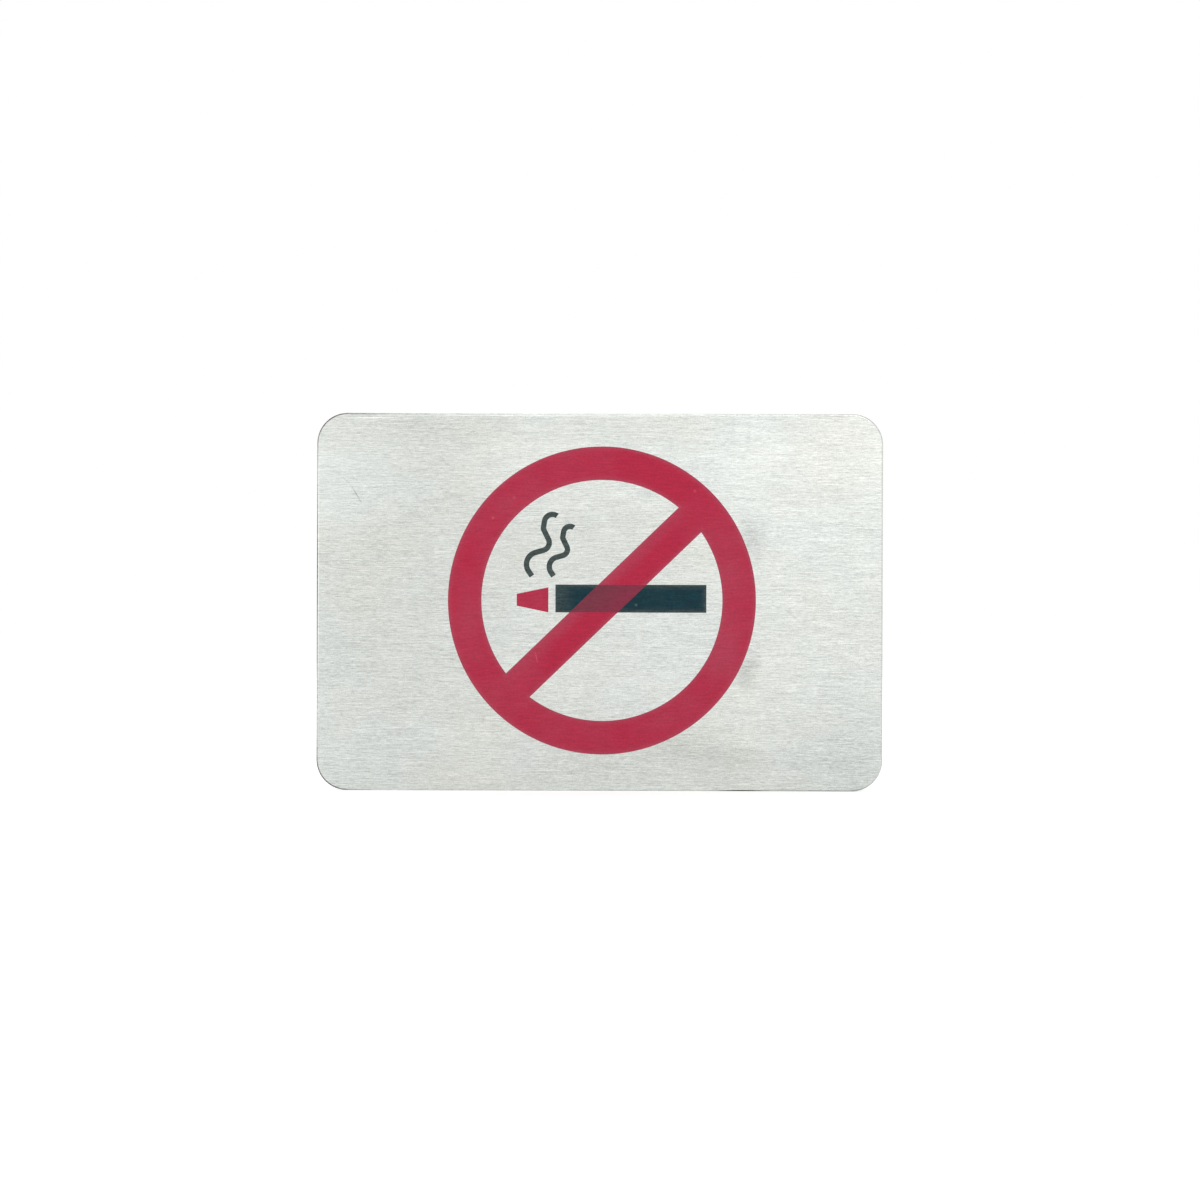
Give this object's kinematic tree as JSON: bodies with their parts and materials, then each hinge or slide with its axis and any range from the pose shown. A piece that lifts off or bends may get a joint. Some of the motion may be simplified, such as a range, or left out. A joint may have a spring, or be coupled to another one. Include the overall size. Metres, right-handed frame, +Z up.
{
  "type": "no smoking sign",
  "caption": "Rectangular brushed steel wall sign with round corners, printed with a red prohibition ring over a black cigarette with smoke, backed with foam tape.",
  "frame": {"origin": "centre of the sign on the wall: the middle of the middle strip of foam tape, on the adhesive face that meets the wall", "axes": "+X to the right and +Z up as seen by someone reading the sign, +Y into the wall; the printed face looks towards -Y"},
  "size_m": [0.12, 0.0021, 0.08],
  "materials": {
    "steel": "brushed along the width",
    "black_ink": "screen printed, satin",
    "red_ink": "screen printed, satin",
    "foam_tape": "matt closed-cell foam"
  },
  "bodies": {
    "root": {"sign_plate": "steel", "cigarette_body": "black_ink", "smoke_curl_tall": "black_ink", "smoke_curl_short": "black_ink", "prohibition_ring": "red_ink", "ember": "red_ink", "tape_upper": "foam_tape", "tape_middle": "foam_tape", "tape_lower": "foam_tape"}
  },
  "joints": []
}
